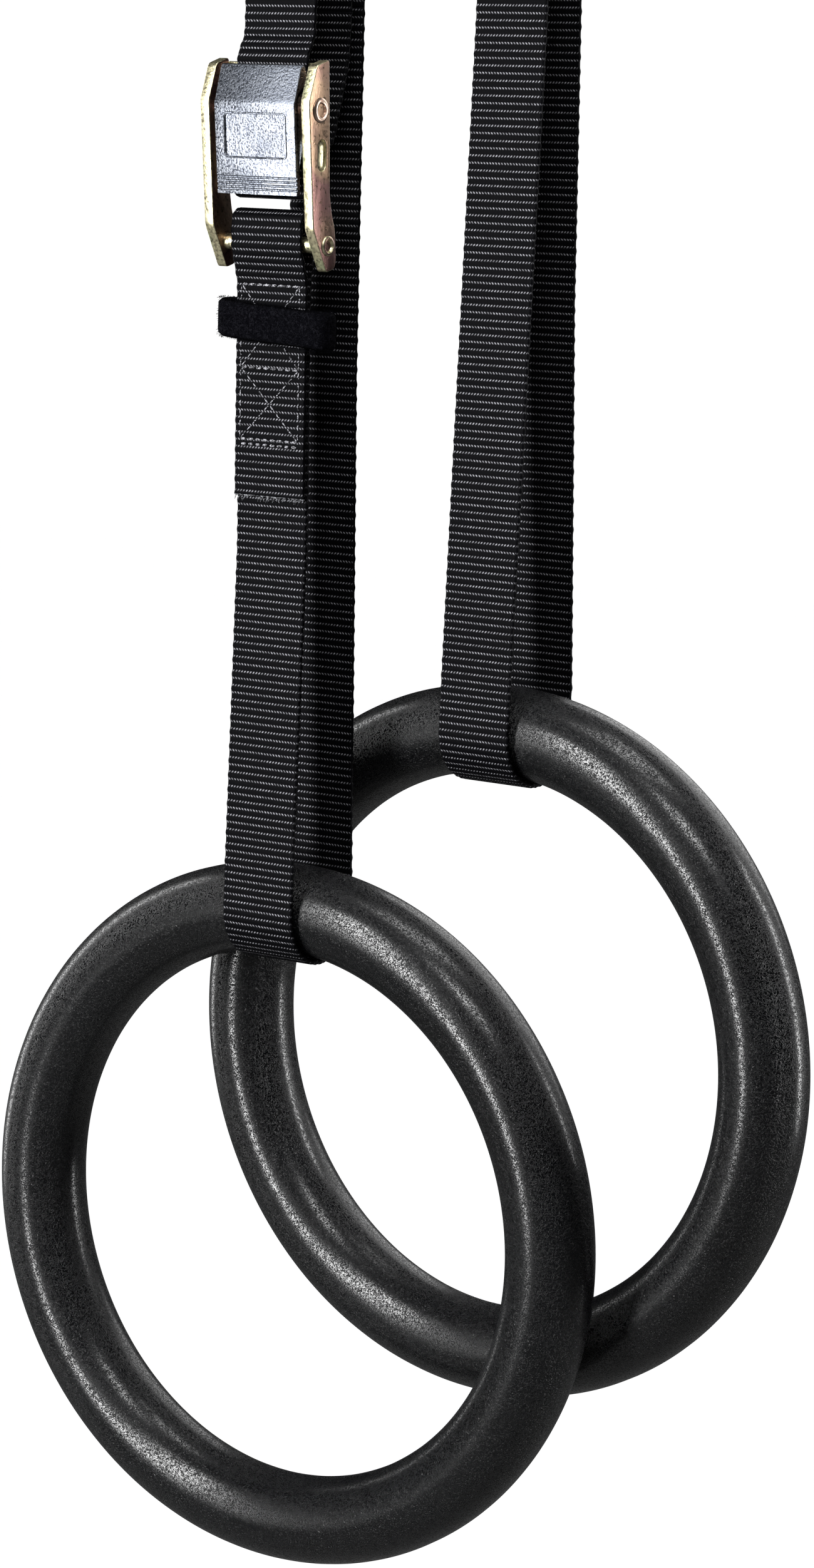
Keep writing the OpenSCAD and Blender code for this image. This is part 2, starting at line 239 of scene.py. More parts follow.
# ---------------------------------------------------------------- materials
class Nodes:
    """A material and short calls that add nodes to it."""

    def __init__(self, name):
        self.material = bpy.data.materials.new(name)
        self.material.use_nodes = True
        self.tree = self.material.node_tree
        self.bsdf = self.tree.nodes["Principled BSDF"]

    def put(self, socket, value):
        if isinstance(value, bpy.types.NodeSocket):
            self.tree.links.new(value, socket)
        else:
            socket.default_value = value

    def principled(self, **inputs):
        for name, value in inputs.items():
            self.put(self.bsdf.inputs[name], value)

    def math(self, operation, a, b=0.0):
        node = self.tree.nodes.new("ShaderNodeMath")
        node.operation = operation
        self.put(node.inputs[0], a)
        self.put(node.inputs[1], b)
        return node.outputs[0]

    def object_coords(self):
        return self.tree.nodes.new("ShaderNodeTexCoord").outputs["Object"]

    def parts(self, vector):
        """The X, Y and Z outputs of a vector."""
        node = self.tree.nodes.new("ShaderNodeSeparateXYZ")
        self.tree.links.new(vector, node.inputs[0])
        return node.outputs

    def surface_normal(self):
        return self.tree.nodes.new("ShaderNodeNewGeometry").outputs["Normal"]

    def noise(self, vector, scale, detail=2.0, distortion=0.0):
        node = self.tree.nodes.new("ShaderNodeTexNoise")
        self.tree.links.new(vector, node.inputs["Vector"])
        node.inputs["Scale"].default_value = scale
        node.inputs["Detail"].default_value = detail
        node.inputs["Distortion"].default_value = distortion
        return node.outputs["Fac"]

    def ranged(self, value, low, high, to_low=0.0, to_high=1.0, smooth=False):
        node = self.tree.nodes.new("ShaderNodeMapRange")
        if smooth:
            node.interpolation_type = "SMOOTHSTEP"
        self.put(node.inputs["Value"], value)
        for name, number in (("From Min", low), ("From Max", high),
                             ("To Min", to_low), ("To Max", to_high)):
            node.inputs[name].default_value = number
        return node.outputs["Result"]

    def mix(self, factor, a, b):
        node = self.tree.nodes.new("ShaderNodeMix")
        node.data_type = "RGBA"
        self.put(node.inputs["Factor"], factor)
        self.put(node.inputs["A"], a)
        self.put(node.inputs["B"], b)
        return node.outputs["Result"]

    def bump(self, height, strength, distance):
        node = self.tree.nodes.new("ShaderNodeBump")
        node.inputs["Strength"].default_value = strength
        node.inputs["Distance"].default_value = distance
        self.put(node.inputs["Height"], height)
        return node.outputs["Normal"]


def ring_plastic():
    """Black plastic with a fine worm-like leather grain."""
    n = Nodes("ring_plastic")
    where = n.object_coords()
    worms = n.math("ABSOLUTE", n.math("SUBTRACT", n.noise(where, 1400.0, 1.0, 0.8), 0.5))
    grain = n.ranged(worms, 0.0, 0.085, 0.0, 1.0, smooth=True)
    fine = n.noise(where, 2400.0, 1.0)
    height = n.math("ADD", grain, n.math("MULTIPLY", fine, 0.3))
    cloud = n.noise(where, 22.0, 3.0)
    tone = n.mix(n.ranged(cloud, 0.35, 0.65), (0.0014, 0.0014, 0.0018, 1),
                 (0.0026, 0.0028, 0.0034, 1))
    n.principled(**{"Base Color": tone, "Roughness": n.ranged(grain, 0, 1, 0.35, 0.22),
                    "Specular IOR Level": n.ranged(grain, 0, 1, 0.2, 0.6),
                    "Normal": n.bump(height, 0.7, 0.0001)})
    return n.material


def webbing_cloth():
    """Ribbed black webbing. UV is in millimetres: across the width, then along the length."""
    n = Nodes("webbing")
    uv = n.tree.nodes.new("ShaderNodeUVMap")
    uv.uv_map = "weave"
    place = n.parts(uv.outputs["UV"])
    across, along = place["X"], place["Y"]
    row = n.math("DIVIDE", along, RIB)
    in_row = n.math("SUBTRACT", n.math("FRACT", row), 0.5)
    slant = n.math("SUBTRACT", n.math("MULTIPLY", n.math("MODULO", n.math("FLOOR", row), 2.0),
                                      2.0), 1.0)
    lean = n.math("MULTIPLY", n.math("MULTIPLY", in_row, slant), 1.6)
    yarn = n.math("FRACT", n.math("DIVIDE", n.math("ADD", across, lean), YARN))
    ridge = n.ranged(n.math("ABSOLUTE", n.math("SUBTRACT", yarn, 0.5)), 0.10, 0.36,
                     1.0, 0.0, smooth=True)
    crown = n.ranged(n.math("ABSOLUTE", in_row), 0.02, 0.2, 1.0, 0.0, smooth=True)
    strand = n.math("MULTIPLY", ridge, crown)
    where = n.object_coords()
    lint = n.noise(where, 1400.0, 2.0)
    patchy = n.ranged(n.noise(where, 900.0, 2.0), 0.36, 0.62, 0.4, 1.0)
    from_middle = n.math("MINIMUM", n.math("ABSOLUTE", across),
                         n.math("ABSOLUTE", n.math("SUBTRACT", across, BACK_U)))
    inner = n.ranged(from_middle, WEB_W / 2 - 1.2, WEB_W / 2 - 0.4, 1.0, 0.12)
    # painted highlight: the crowns of the weave are coloured light grey where the yarn tops catch
    # the light, fading towards the selvages; the webbing itself is near-black
    lit = n.math("MULTIPLY", n.math("MULTIPLY", strand, patchy), inner)
    colour = n.mix(lit, (0.0022, 0.0022, 0.003, 1), (0.42, 0.42, 0.46, 1))
    height = n.math("ADD", strand, n.math("MULTIPLY", lint, 0.3))
    n.principled(**{"Base Color": colour, "Roughness": 0.6,
                    "Specular IOR Level": n.ranged(lit, 0.0, 1.0, 0.04, 0.5),
                    "Normal": n.bump(height, 0.8, 0.0003)})
    return n.material


def fuzzy_tape():
    """Black hook-and-loop tape, loop side out."""
    n = Nodes("hook_and_loop")
    where = n.object_coords()
    fuzz = n.noise(where, 1100.0, 3.0, 1.5)
    colour = n.mix(n.ranged(fuzz, 0.46, 0.78), (0.002, 0.002, 0.003, 1),
                   (0.014, 0.014, 0.018, 1))
    n.principled(**{"Base Color": colour, "Roughness": 0.95, "Specular IOR Level": 0.02,
                    "Normal": n.bump(fuzz, 1.0, 0.0005)})
    return n.material


def thread_cloth():
    n = Nodes("thread")
    where = n.object_coords()
    twist_and_painted_glint = n.noise(where, 1600.0, 1.0)
    # painted highlight: the thread is near-black, and its light grey patches stand for glints on
    # the twisted plies
    colour = n.mix(n.ranged(twist_and_painted_glint, 0.38, 0.62), (0.01, 0.01, 0.012, 1), (0.5, 0.5, 0.54, 1))
    n.principled(**{"Base Color": colour, "Roughness": 0.5, "Specular IOR Level": 0.2,
                    "Normal": n.bump(twist_and_painted_glint, 0.5, 0.0001)})
    return n.material


def melted_edge():
    """The pale crust where the webbing was cut hot."""
    n = Nodes("melted_edge")
    where = n.object_coords()
    lumps = n.noise(where, 900.0, 3.0)
    colour = n.mix(n.ranged(lumps, 0.42, 0.6), (0.02, 0.02, 0.024, 1), (0.42, 0.43, 0.46, 1))
    n.principled(**{"Base Color": colour, "Roughness": 0.45,
                    "Normal": n.bump(lumps, 0.8, 0.0004)})
    return n.material


def yellow_zinc():
    """Yellow iridescent plating: mauve and tan on the broad faces, pale yellow on the edges."""
    n = Nodes("zinc_yellow")
    where = n.object_coords()
    cloud = n.noise(where, 60.0, 3.0, 0.6)
    other = n.noise(where, 110.0, 2.0, 0.3)
    fine = n.noise(where, 1100.0, 3.0)
    broad = n.mix(n.ranged(cloud, 0.40, 0.62), (0.24, 0.13, 0.12, 1), (0.36, 0.24, 0.16, 1))
    edge = n.mix(n.ranged(other, 0.52, 0.72), (0.86, 0.79, 0.52, 1), (0.62, 0.66, 0.40, 1))
    facing = n.ranged(n.math("ABSOLUTE", n.parts(n.surface_normal())["X"]), 0.75, 0.95)
    pitted = n.ranged(fine, 0.32, 0.5, 0.55, 1.0)
    colour = n.mix(pitted, (0.12, 0.09, 0.05, 1), n.mix(facing, edge, broad))
    n.principled(**{"Base Color": colour, "Metallic": 1.0,
                    "Roughness": n.ranged(fine, 0.3, 0.7, 0.26, 0.46),
                    "Normal": n.bump(fine, 0.4, 0.0002)})
    return n.material


def bright_zinc():
    """Blue-white plating over a slightly rough casting."""
    n = Nodes("zinc_bright")
    where = n.object_coords()
    cast = n.noise(where, 1500.0, 3.0)
    cloud = n.noise(where, 110.0, 3.0)
    colour = n.mix(n.ranged(cloud, 0.35, 0.65), (0.25, 0.27, 0.31, 1), (0.38, 0.40, 0.44, 1))
    pitted = n.mix(n.ranged(cast, 0.42, 0.52), (0.13, 0.14, 0.17, 1), colour)
    # painted shade: the sloping top and the grooves' lower sides, which face up, are coloured
    # darker to stand for less light falling on them
    facing_up = n.ranged(n.parts(n.surface_normal())["Z"], 0.1, 0.2)
    painted_top_shade = n.math("MULTIPLY", facing_up, 0.7)
    pitted = n.mix(painted_top_shade, pitted, (0.10, 0.11, 0.13, 1))
    n.principled(**{"Base Color": pitted, "Metallic": 1.0,
                    "Roughness": n.ranged(cast, 0.3, 0.7, 0.26, 0.48),
                    "Normal": n.bump(cast, 0.8, 0.0002)})
    return n.material


def copper_steel():
    n = Nodes("copper_steel")
    where = n.object_coords()
    cloud = n.noise(where, 400.0, 3.0)
    colour = n.mix(n.ranged(cloud, 0.35, 0.65), (0.55, 0.36, 0.27, 1), (0.74, 0.58, 0.47, 1))
    n.principled(**{"Base Color": colour, "Metallic": 1.0, "Roughness": 0.3,
                    "Normal": n.bump(cloud, 0.2, 0.0001)})
    return n.material


def spring_steel():
    n = Nodes("spring_steel")
    where = n.object_coords()
    drawn = n.noise(where, 1800.0, 2.0)
    n.principled(**{"Base Color": (0.4, 0.4, 0.42, 1), "Metallic": 1.0,
                    "Roughness": n.ranged(drawn, 0.3, 0.7, 0.2, 0.4)})
    return n.material


# ---------------------------------------------------------------- building pieces
def finish_piece(piece, body, nodes=()):
    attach(piece, body)
    if nodes:
        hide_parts(*nodes)
    return piece


def add_mesh(name, points, faces, material, smooth=True):
    mesh = bpy.data.meshes.new(name)
    mesh.from_pydata([tuple(p) for p in points], [], faces)
    mesh.validate()
    if smooth:
        mesh.shade_smooth()
    mesh.materials.append(material)
    piece = bpy.data.objects.new(name, mesh)
    bpy.context.scene.collection.objects.link(piece)
    return piece


def face_out(mesh, weld=0.0):
    """Turns every face outward, after welding points closer than weld metres."""
    bm = bmesh.new()
    bm.from_mesh(mesh)
    if weld:
        bmesh.ops.remove_doubles(bm, verts=bm.verts, dist=weld)
    bmesh.ops.recalc_face_normals(bm, faces=bm.faces)
    bm.to_mesh(mesh)
    bm.free()


def straight(a, b, step=1.0):
    """Points from a to b, without b."""
    a, b = Vector(a), Vector(b)
    count = max(1, round((b - a).length / step))
    return [a.lerp(b, i / count) for i in range(count)]


def arc(centre, radius, start, stop, count=24):
    """Points of an arc in (y, z), by angles in degrees."""
    points = []
    for i in range(count + 1):
        a = math.radians(start + (stop - start) * i / count)
        points.append(Vector((centre[0] + radius * math.cos(a),
                              centre[1] + radius * math.sin(a))))
    return points


def resample(path, step):
    """The path at even steps, with its length."""
    lengths = [0.0]
    for a, b in zip(path, path[1:]):
        lengths.append(lengths[-1] + (b - a).length)
    total = lengths[-1]
    count = max(2, round(total / step))
    points, k = [], 0
    for i in range(count + 1):
        s = total * i / count
        while k < len(path) - 2 and lengths[k + 1] < s:
            k += 1
        span = lengths[k + 1] - lengths[k]
        t = 0.0 if span < 1e-9 else (s - lengths[k]) / span
        points.append(path[k].lerp(path[k + 1], min(1.0, t)))
    return points, total


def softened(points, passes):
    """The points with their corners eased, ends kept."""
    for _ in range(passes):
        points = ([points[0]] + [a * 0.25 + b * 0.5 + c * 0.25
                                 for a, b, c in zip(points, points[1:], points[2:])]
                  + [points[-1]])
    return points


COLUMNS = (-14.0, -13.75, -13.2, -12.0, -8.0, -4.0, 0.0, 4.0, 8.0, 12.0, 13.2, 13.75, 14.0)
ROWS_PER_RIB = 4
EDGE_R = 0.8            # the selvage's rounding


def webbing(name, ring_set, path, body, nodes, passes=8):
    """A length of ribbed webbing along a path of (y, z) points in the set's frame."""
    points, total = resample([Vector(p) for p in path], RIB / ROWS_PER_RIB)
    points = softened(points, passes)
    verts, faces, uvs = [], [], []
    last = len(points) - 1
    step = total / last
    rib_phase = 2 * math.pi / RIB
    around = 2 * (len(COLUMNS) - 1)
    for i, p in enumerate(points):
        ahead = points[min(i + 1, last)] - points[max(i - 1, 0)]
        side = Vector((-ahead.y, ahead.x)).normalized()
        s = i * step
        rib = 0.11 * math.cos(s * rib_phase)
        scallop = 0.22 * math.cos(s * rib_phase / 2)
        for face in (1, -1):
            columns = COLUMNS if face == 1 else COLUMNS[-2:0:-1]
            for u in columns:
                inset = max(0.0, abs(u) - (WEB_W / 2 - EDGE_R)) / EDGE_R
                thick = (WEB_T / 2 - 0.12 + rib) * math.sqrt(max(0.0, 1 - inset ** 2))
                x = u - math.copysign(0.25 - scallop, u) * inset if u else 0.0
                q = p + side * thick * face
                verts.append(ring_set.at(x, q.x, q.y))
                uvs.append((u + (BACK_U if face < 0 else 0.0), s))
    for i in range(last):
        for k in range(around):
            j = (k + 1) % around
            faces.append((i * around + k, i * around + j, (i + 1) * around + j,
                          (i + 1) * around + k))
    faces.append(tuple(range(around - 1, -1, -1)))
    faces.append(tuple(last * around + k for k in range(around)))
    piece = add_mesh(ring_set.name(name), verts, faces, MATERIALS["webbing"])
    layer = piece.data.uv_layers.new(name="weave")
    for loop in piece.data.loops:
        layer.data[loop.index].uv = uvs[loop.vertex_index]
    face_out(piece.data)
    return finish_piece(piece, ring_set.name(body),
                        [ring_set.name(n) for n in nodes])


def tube(points, radius, sides=8, closed=False):
    """Vertices and faces of a tube along world points; radius is a number or a function."""
    verts, faces = [], []
    count = len(points)
    spin = None
    for i, p in enumerate(points):
        before = points[i - 1] if closed or i else p
        after = points[(i + 1) % count] if closed or i < count - 1 else p
        along = (after - before).normalized()
        if spin is None:
            spin = along.orthogonal().normalized()
        spin = (spin - along * spin.dot(along)).normalized()
        other = along.cross(spin)
        r = radius(i) if callable(radius) else radius
        for k in range(sides):
            a = 2 * math.pi * k / sides
            verts.append(p + (spin * math.cos(a) + other * math.sin(a)) * r)
    for i in range(count if closed else count - 1):
        n = (i + 1) % count
        for k in range(sides):
            j = (k + 1) % sides
            faces.append((i * sides + k, i * sides + j, n * sides + j, n * sides + k))
    if not closed:
        faces.append(tuple(range(sides - 1, -1, -1)))
        faces.append(tuple((count - 1) * sides + k for k in range(sides)))
    return verts, faces


def join(parts):
    """Several (verts, faces) as one."""
    verts, faces = [], []
    for part_verts, part_faces in parts:
        base = len(verts)
        verts += part_verts
        faces += [tuple(base + i for i in face) for face in part_faces]
    return verts, faces


def plate(name, ring_set, outline, holes, x_middle, thickness, bevel, material):
    """A plate with rounded edges: outline and holes are (y, z) points from the pivot."""
    curve = bpy.data.curves.new(name, "CURVE")
    curve.dimensions = "2D"
    curve.fill_mode = "BOTH"
    curve.extrude = (thickness / 2 - bevel) * MM
    curve.bevel_depth = bevel * MM
    curve.bevel_resolution = 2
    curve.offset = -bevel * MM
    for points in (outline, *holes):
        spline = curve.splines.new("POLY")
        spline.points.add(len(points) - 1)
        spline.use_cyclic_u = True
        for point, (y, z) in zip(spline.points, points):
            point.co = (y * MM, z * MM, 0, 1)
    shape = bpy.data.objects.new(name + "_outline", curve)
    bpy.context.scene.collection.objects.link(shape)
    mesh = bpy.data.meshes.new_from_object(
        shape.evaluated_get(bpy.context.evaluated_depsgraph_get()))
    bpy.data.objects.remove(shape)
    turn = Matrix((ring_set.y, (0, 0, 1), ring_set.x)).transposed().to_4x4()
    place = ring_set.at(x_middle, ring_set.pivot_y, ring_set.pivot_z)
    mesh.transform(Matrix.Translation(place) @ turn)
    face_out(mesh, weld=1e-6)
    mesh.materials.clear()
    mesh.materials.append(material)
    piece = bpy.data.objects.new(name, mesh)
    bpy.context.scene.collection.objects.link(piece)
    mesh.shade_smooth()
    mesh.set_sharp_from_angle(angle=math.radians(35))
    return piece


def rounded(corners, radius, count=5):
    """An outline with its corners rounded off by short curves."""
    result = []
    total = len(corners)
    for i, corner in enumerate(corners):
        c = Vector(corner)
        a, b = Vector(corners[i - 1]), Vector(corners[(i + 1) % total])
        reach = min(radius, (a - c).length * 0.45, (b - c).length * 0.45)
        start = c + (a - c).normalized() * reach
        stop = c + (b - c).normalized() * reach
        for k in range(count + 1):
            t = k / count
            p = start * (1 - t) ** 2 + c * 2 * t * (1 - t) + stop * t ** 2
            result.append((p.x, p.y))
    return result


def cut(piece, cutter):
    """Takes the cutter's shape out of the piece."""
    change = piece.modifiers.new("cut", "BOOLEAN")
    change.object = cutter
    change.solver = "EXACT"
    mesh = bpy.data.meshes.new_from_object(
        piece.evaluated_get(bpy.context.evaluated_depsgraph_get()))
    piece.modifiers.clear()
    old = piece.data
    piece.data = mesh
    mesh.name = piece.name
    bpy.data.meshes.remove(old)
    bpy.data.objects.remove(cutter)


def lathe(ring_set, profile, x_dir, place, sides=40):
    """A turned shape about the set's X axis: profile is (x, radius) points from place."""
    verts, faces = [], []
    for x, r in profile:
        for k in range(sides):
            a = 2 * math.pi * k / sides
            verts.append(ring_set.at(place[0] + x * x_dir, place[1] + r * math.cos(a),
                                     place[2] + r * math.sin(a)))
    for i in range(len(profile) - 1):
        for k in range(sides):
            j = (k + 1) % sides
            faces.append((i * sides + k, i * sides + j, (i + 1) * sides + j,
                          (i + 1) * sides + k))
    return verts, faces


# ---------------------------------------------------------------- rings
def ring_half(ring_set, front):
    """One half of the hollow moulding: a half tube with a fine bead along the parting line."""
    turns, sides = 288, 30
    sign = -1 if front else 1
    verts, faces = [], []
    for i in range(turns):
        a = 2 * math.pi * i / turns
        for k in range(sides + 1):
            b = math.pi * k / sides
            edge = min(b, math.pi - b) * TUBE_R
            r = TUBE_R - (0.0 if edge > 0.5 else 0.10 * (1 - edge / 0.5))
            out, deep = r * math.cos(b), sign * r * math.sin(b)
            verts.append(ring_set.at(ring_set.ring_x + (RING_R + out) * math.cos(a), deep,
                                     (RING_R + out) * math.sin(a)))
    inner = TUBE_R - RING_WALL
    for i in range(turns):
        a = 2 * math.pi * i / turns
        for out in (-inner, inner):
            verts.append(ring_set.at(ring_set.ring_x + (RING_R + out) * math.cos(a), 0.0,
                                     (RING_R + out) * math.sin(a)))
    row, base = sides + 1, turns * (sides + 1)
    for i in range(turns):
        n = (i + 1) % turns
        for k in range(sides):
            faces.append((i * row + k, i * row + k + 1, n * row + k + 1, n * row + k))
        rim_in, rim_out = base + 2 * i, base + 2 * i + 1
        next_in, next_out = base + 2 * n, base + 2 * n + 1
        faces.append((i * row, n * row, next_out, rim_out))
        faces.append((i * row + sides, rim_in, next_in, n * row + sides))
        faces.append((rim_out, next_out, next_in, rim_in))
    label = "ring_front_half" if front else "ring_rear_half"
    piece = add_mesh(ring_set.name(label + "_shell"), verts, faces, MATERIALS["ring_plastic"])
    face_out(piece.data)
    piece.data.set_sharp_from_angle(angle=math.radians(50))
    return finish_piece(piece, ring_set.name("ring"),
                        [ring_set.name(label)])


# ---------------------------------------------------------------- strap
def lower_strap(ring_set):
    """From the cut end, round the bar, down to the ring, under it and up behind it."""
    s, pz = ring_set, ring_set.pivot_z
    fold = (s.back + BAR_Y, pz + FOLD_Z)
    seam, below = pz + SEAM_Z, pz + BAR_Z - 1
    flap_y = s.front_bend_y - FLAP_STEP
    stops = [(s.leg_y(FLAP_Z) - FLAP_STEP, pz + FLAP_Z), (flap_y, seam), (fold[0] - FOLD_R, below)]
    path = []
    for a, b in zip(stops, stops[1:]):
        path += straight(a, b)
    path += straight(stops[-1], (fold[0] - FOLD_R, fold[1]))
    path += arc(fold, FOLD_R, 180, 0)
    stops = [(fold[0] + FOLD_R, fold[1]), (fold[0] + FOLD_R, below), (s.front_bend_y, seam),
             tuple(s.front_mid), (-BIGHT_MID, RING_R)]
    for a, b in zip(stops, stops[1:]):
        path += straight(a, b)
    path += arc((0, RING_R), BIGHT_MID, 180, 360)
    stops = [Vector((BIGHT_MID, RING_R))] + s.back_stops
    for a, b in zip(stops, stops[1:]):
        path += straight(a, b)
    path.append(s.back_stops[-1])
    webbing("strap_lower", s, path, "drop",
            ("sewn_end", "front_leg", "ring_bight", "back_leg_lower"))


def upper_strap(ring_set):
    """The two legs above the buckle and the loop over the anchor."""
    s = ring_set
    top = s.drop
    front = Vector((ANCHOR_Y - ANCHOR_MID, top))
    rear = Vector((ANCHOR_Y + ANCHOR_MID, top))
    webbing("strap_anchor_loop", s, arc((ANCHOR_Y, top), ANCHOR_MID, 180, 0), "hanger",
            ("anchor_loop",), passes=0)
    slack = Vector((SLACK_Y + s.slack_in, s.pivot_z + SLACK_Z))
    for name, node, ends in (("strap_back_leg", "back_leg_upper", (rear, s.back_stops[-1])),
                             ("strap_loaded_leg", "loaded_leg", (front, slack))):
        leg = webbing(name, s, straight(*ends) + [ends[1]], "hanger", (node,), passes=0)
        s.name("height")
        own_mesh(leg)


def buckle_strap(ring_set):
    """Down behind the base plate, round it, up under the cam, and folded into a hank."""
    s, pz, back = ring_set, ring_set.pivot_z, ring_set.back
    slack = SLACK_Y + s.slack_in
    behind, front = back + BEHIND_Y, back + FRONT_Y
    path = []
    stops = [(slack, SLACK_Z), (slack - SLACK_DROP, SLACK_LOW_Z)]
    stops += [(behind + out, z) for out, z in BULGE] + [(behind, BASE_BOTTOM)]
    for a, b in zip(stops, stops[1:]):
        path += straight((a[0], pz + a[1]), (b[0], pz + b[1]))
    path += arc(((behind + front) / 2, pz + BASE_BOTTOM), (behind - front) / 2, 360, 180)
    path += straight((front, pz + BASE_BOTTOM), (front, pz + BASE_TOP + 2))[1:]
    bend = (back + TAIL_BEND[0], pz + TAIL_BEND[1])
    path += straight((front, pz + BASE_TOP + 2), bend)
    path += straight(bend, (back + HANK_Y, pz + HANK_Z + 3))
    low, high = pz + HANK_Z + 1.6, pz + HANK_Z + HANK_LEN - 1.6
    turn_r = LAYER_PITCH / 2
    for layer in range(HANK_LAYERS):
        y = back + HANK_Y - layer * LAYER_PITCH
        rising = layer % 2 == 0
        start, stop = (low, high) if rising else (high, low)
        path += straight((y, start), (y, stop))
        if layer < HANK_LAYERS - 1:
            turn = (0, 180) if rising else (360, 180)
            path += arc((y - turn_r, stop), turn_r, *turn, count=8)
    path.append(Vector((y, stop)))
    return webbing("strap_tail", s, path, "drop", ("buckle_turn", "tail", "hank"), passes=5)


def melted_end(ring_set, name, y, z, dir_out):
    """The crust along a hot-cut end."""
    rng = random.Random(name)
    count = 60
    points = [ring_set.at(-13.6 + 27.2 * i / (count - 1), y + rng.uniform(-0.12, 0.12),
                          z + rng.uniform(-0.3, 0.25)) for i in range(count)]
    sizes = [rng.uniform(0.3, 0.62) * MM for _ in range(count)]
    verts, faces = tube(points, lambda i: sizes[i], sides=7)
    fibres = []
    for _ in range(46):
        root = ring_set.at(rng.uniform(-13.5, 13.5), y + rng.uniform(-0.6, 0.4), z)
        tip = root + (ring_set.x * rng.uniform(-1.2, 1.2) - ring_set.y * rng.uniform(0.0, 0.7)
                      + Vector((0, 0, dir_out * rng.uniform(0.8, 2.2)))) * MM
        fibres.append(tube([root, root.lerp(tip, 0.6), tip], 0.07 * MM, sides=4))
    verts, faces = join([(verts, faces)] + fibres)
    piece = add_mesh(ring_set.name(name), verts, faces, MATERIALS["melted_edge"])
    finish_piece(piece, ring_set.name("drop"))


def stitches(ring_set):
    """Rows and crosses of thread that sew the end down."""
    s, pz = ring_set, ring_set.pivot_z
    rng = random.Random(7)
    half = WEB_W / 2 - 2.6
    rows = (-55.5, -82.0, -104.9, -106.5)
    parts = []

    def line(a, b, pitch=3.1, fill=0.62, bold=0.8):
        a, b = Vector(a), Vector(b)
        count = max(1, round((b - a).length / pitch))
        for i in range(count):
            p, q = a.lerp(b, (i + 0.5 - fill / 2) / count), a.lerp(b, (i + 0.5 + fill / 2) / count)
            points = []
            for k in range(6):
                m = p.lerp(q, k / 5)
                lift = 0.16 * math.sin(math.pi * k / 5) + rng.uniform(-0.02, 0.02)
                y = s.leg_y(m.y) - FLAP_STEP - WEB_T / 2 + 0.02 - lift
                points.append(s.at(m.x, y, pz + m.y))
            parts.append(tube(points, lambda k: (0.16, 0.25, 0.28, 0.28, 0.25, 0.16)[k]
                              * bold * MM, sides=6))

    for z in rows:
        line((-half, z), (half, z), pitch=2.9, fill=0.62, bold=1.6)
    for low, high in ((rows[1], rows[0]), (rows[2], rows[1])):
        line((-half, low), (half, high))
        line((-half, high), (half, low))
        for x in (-half, half):
            line((x, low), (x, high))
    piece = add_mesh(s.name("stitch_rows"), *join(parts), MATERIALS["thread"])
    finish_piece(piece, s.name("drop"), [s.name("stitching")])


# ---------------------------------------------------------------- hook-and-loop bands
def tape_band(ring_set, name, node, body, x_low, x_high, y_low, y_high, z, height, seed,
              tilt=0.0):
    """A band of fuzzy tape round the webbing, askew by tilt degrees."""
    s = ring_set
    rng = random.Random(seed)
    drop = math.tan(math.radians(tilt))
    t = 1.3
    x_mid, half_x = (x_low + x_high) / 2, (x_high - x_low) / 2
    y_mid, half_y = (y_low + y_high) / 2, (y_high - y_low) / 2
    corner = min(half_y, 3.4)
    outline = rounded([(-half_x, -half_y), (half_x, -half_y), (half_x, half_y),
                       (-half_x, half_y)], corner, 8)
    loop, _ = resample([Vector(p) for p in outline + outline[:1]], 0.8)
    loop = loop[:-1]
    count, rows = len(loop), 13
    verts, faces = [], []
    normals = []
    for i, p in enumerate(loop):
        along = loop[(i + 1) % count] - loop[i - 1]
        normals.append(Vector((along.y, -along.x)).normalized())
    profile = []
    for k in range(rows):
        w = -1 + 2 * k / (rows - 1)
        profile.append((t * math.sqrt(max(0.0, 1 - abs(w) ** 8)), w * height / 2))
    for i, (p, n) in enumerate(zip(loop, normals)):
        wave = 0.25 * math.sin(2 * math.pi * i / count * 2 + seed)
        for thick, dz in profile:
            q = p + n * thick
            verts.append(s.at(x_mid + q.x, y_mid + q.y, z + dz + wave - q.x * drop))
        for _, dz in reversed(profile[1:-1]):
            verts.append(s.at(x_mid + p.x, y_mid + p.y, z + dz + wave - p.x * drop))
    around = rows + rows - 2
    for i in range(count):
        n = (i + 1) % count
        for k in range(around):
            j = (k + 1) % around
            faces.append((i * around + k, i * around + j, n * around + j, n * around + k))
    parts = [(verts, faces)]
    for _ in range(2600):
        i = rng.randrange(count)
        p, n = loop[i], normals[i]
        edge = rng.random() < 0.35
        dz = rng.choice((-1, 1)) * height / 2 if edge else rng.uniform(-height / 2, height / 2)
        q = p + n * (t if not edge else rng.uniform(0.2, t))
        root = s.at(x_mid + q.x, y_mid + q.y, z + dz - q.x * drop)
        away = (s.x * n.x + s.y * n.y) * rng.uniform(0.1, 0.45) * (0.3 if edge else 1)
        sway = Vector((rng.uniform(-0.4, 0.4), rng.uniform(-0.2, 0.2), rng.uniform(-0.4, 0.4)))
        if edge:
            sway.z = math.copysign(rng.uniform(0.2, 0.6), dz)
        tip = root + (away + sway) * MM
        bend = root.lerp(tip, 0.55) + Vector((rng.uniform(-0.2, 0.2),) * 3) * MM
        parts.append(tube([root, bend, tip], 0.055 * MM, sides=3))
    piece = add_mesh(s.name(name), *join(parts), MATERIALS["hook_and_loop"])
    face_out(piece.data)
    finish_piece(piece, s.name(body), [s.name(node)])


# ---------------------------------------------------------------- cam buckle
def circle_outline(centre, radius, count=20):
    return [(centre[0] + radius * math.cos(2 * math.pi * k / count),
             centre[1] + radius * math.sin(2 * math.pi * k / count)) for k in range(count)]


